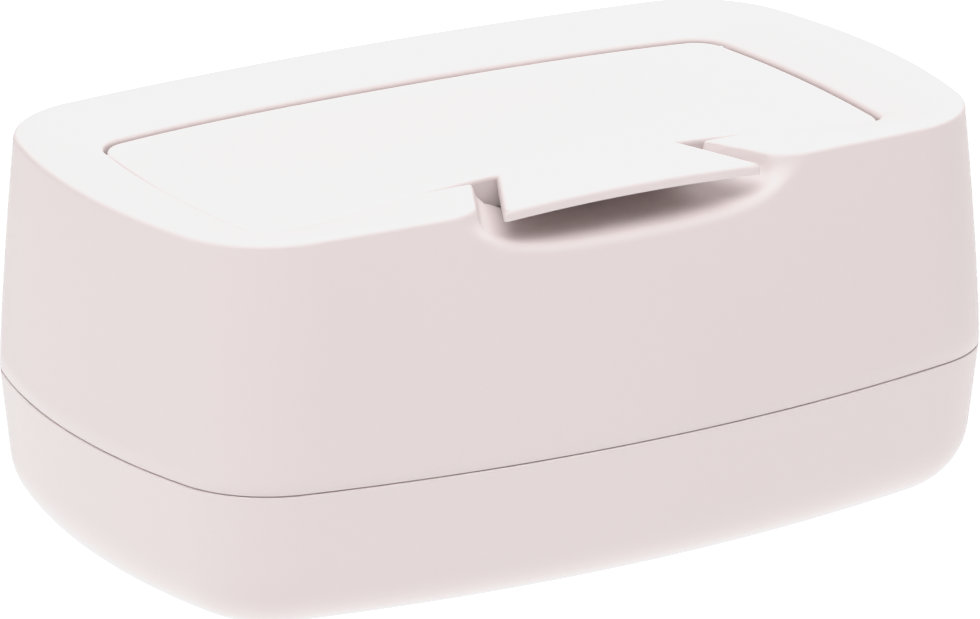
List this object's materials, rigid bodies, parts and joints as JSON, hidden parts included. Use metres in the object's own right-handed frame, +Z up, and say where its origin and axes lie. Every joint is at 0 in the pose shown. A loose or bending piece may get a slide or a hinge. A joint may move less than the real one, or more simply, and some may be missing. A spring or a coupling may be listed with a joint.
{
  "type": "baby wipes box",
  "caption": "Rounded countertop wipes box: a shallow tray, a tall hood that lifts off it, and a recessed flip lid with a finger tab over a thumb scoop.",
  "frame": {"origin": "on the surface that the box stands on, under the middle of its outline", "axes": "+Z up, +X along the length, the finger tab and thumb scoop face -Y, the hinge is towards +Y"},
  "size_m": [0.25, 0.1608, 0.1075],
  "materials": {
    "shell": "satin moulded plastic, pale pinkish beige",
    "plate": "satin white moulded plastic",
    "steel": "plain stainless steel",
    "seal": "soft translucent-white seal",
    "foot": "soft grey non-slip rubber"
  },
  "bodies": {
    "base": {"base_tray": "shell", "hood_seal": "seal", "foot_front_left": "foot", "foot_front_right": "foot", "foot_back_left": "foot", "foot_back_right": "foot"},
    "hood": {"hood": "shell"},
    "lid": {"lid": "shell", "lid_seal": "seal", "hinge_pin_left": "steel", "hinge_pin_right": "steel"},
    "plate": {"press_plate": "plate", "plate_weight": "steel"}
  },
  "joints": [
    {"name": "hood_lift", "type": "slide", "parent": "base", "child": "hood", "axis": [0, 0, 1], "range_m": [0, 0.12]},
    {"name": "lid_hinge", "type": "hinge", "parent": "hood", "child": "lid", "pos_m": [0, 0.0365, 0.0988], "axis": [-1, 0, 0], "range_deg": [0, 95]},
    {"name": "plate_slide", "type": "slide", "parent": "base", "child": "plate", "axis": [0, 0, 1], "range_m": [0, 0.07]}
  ]
}
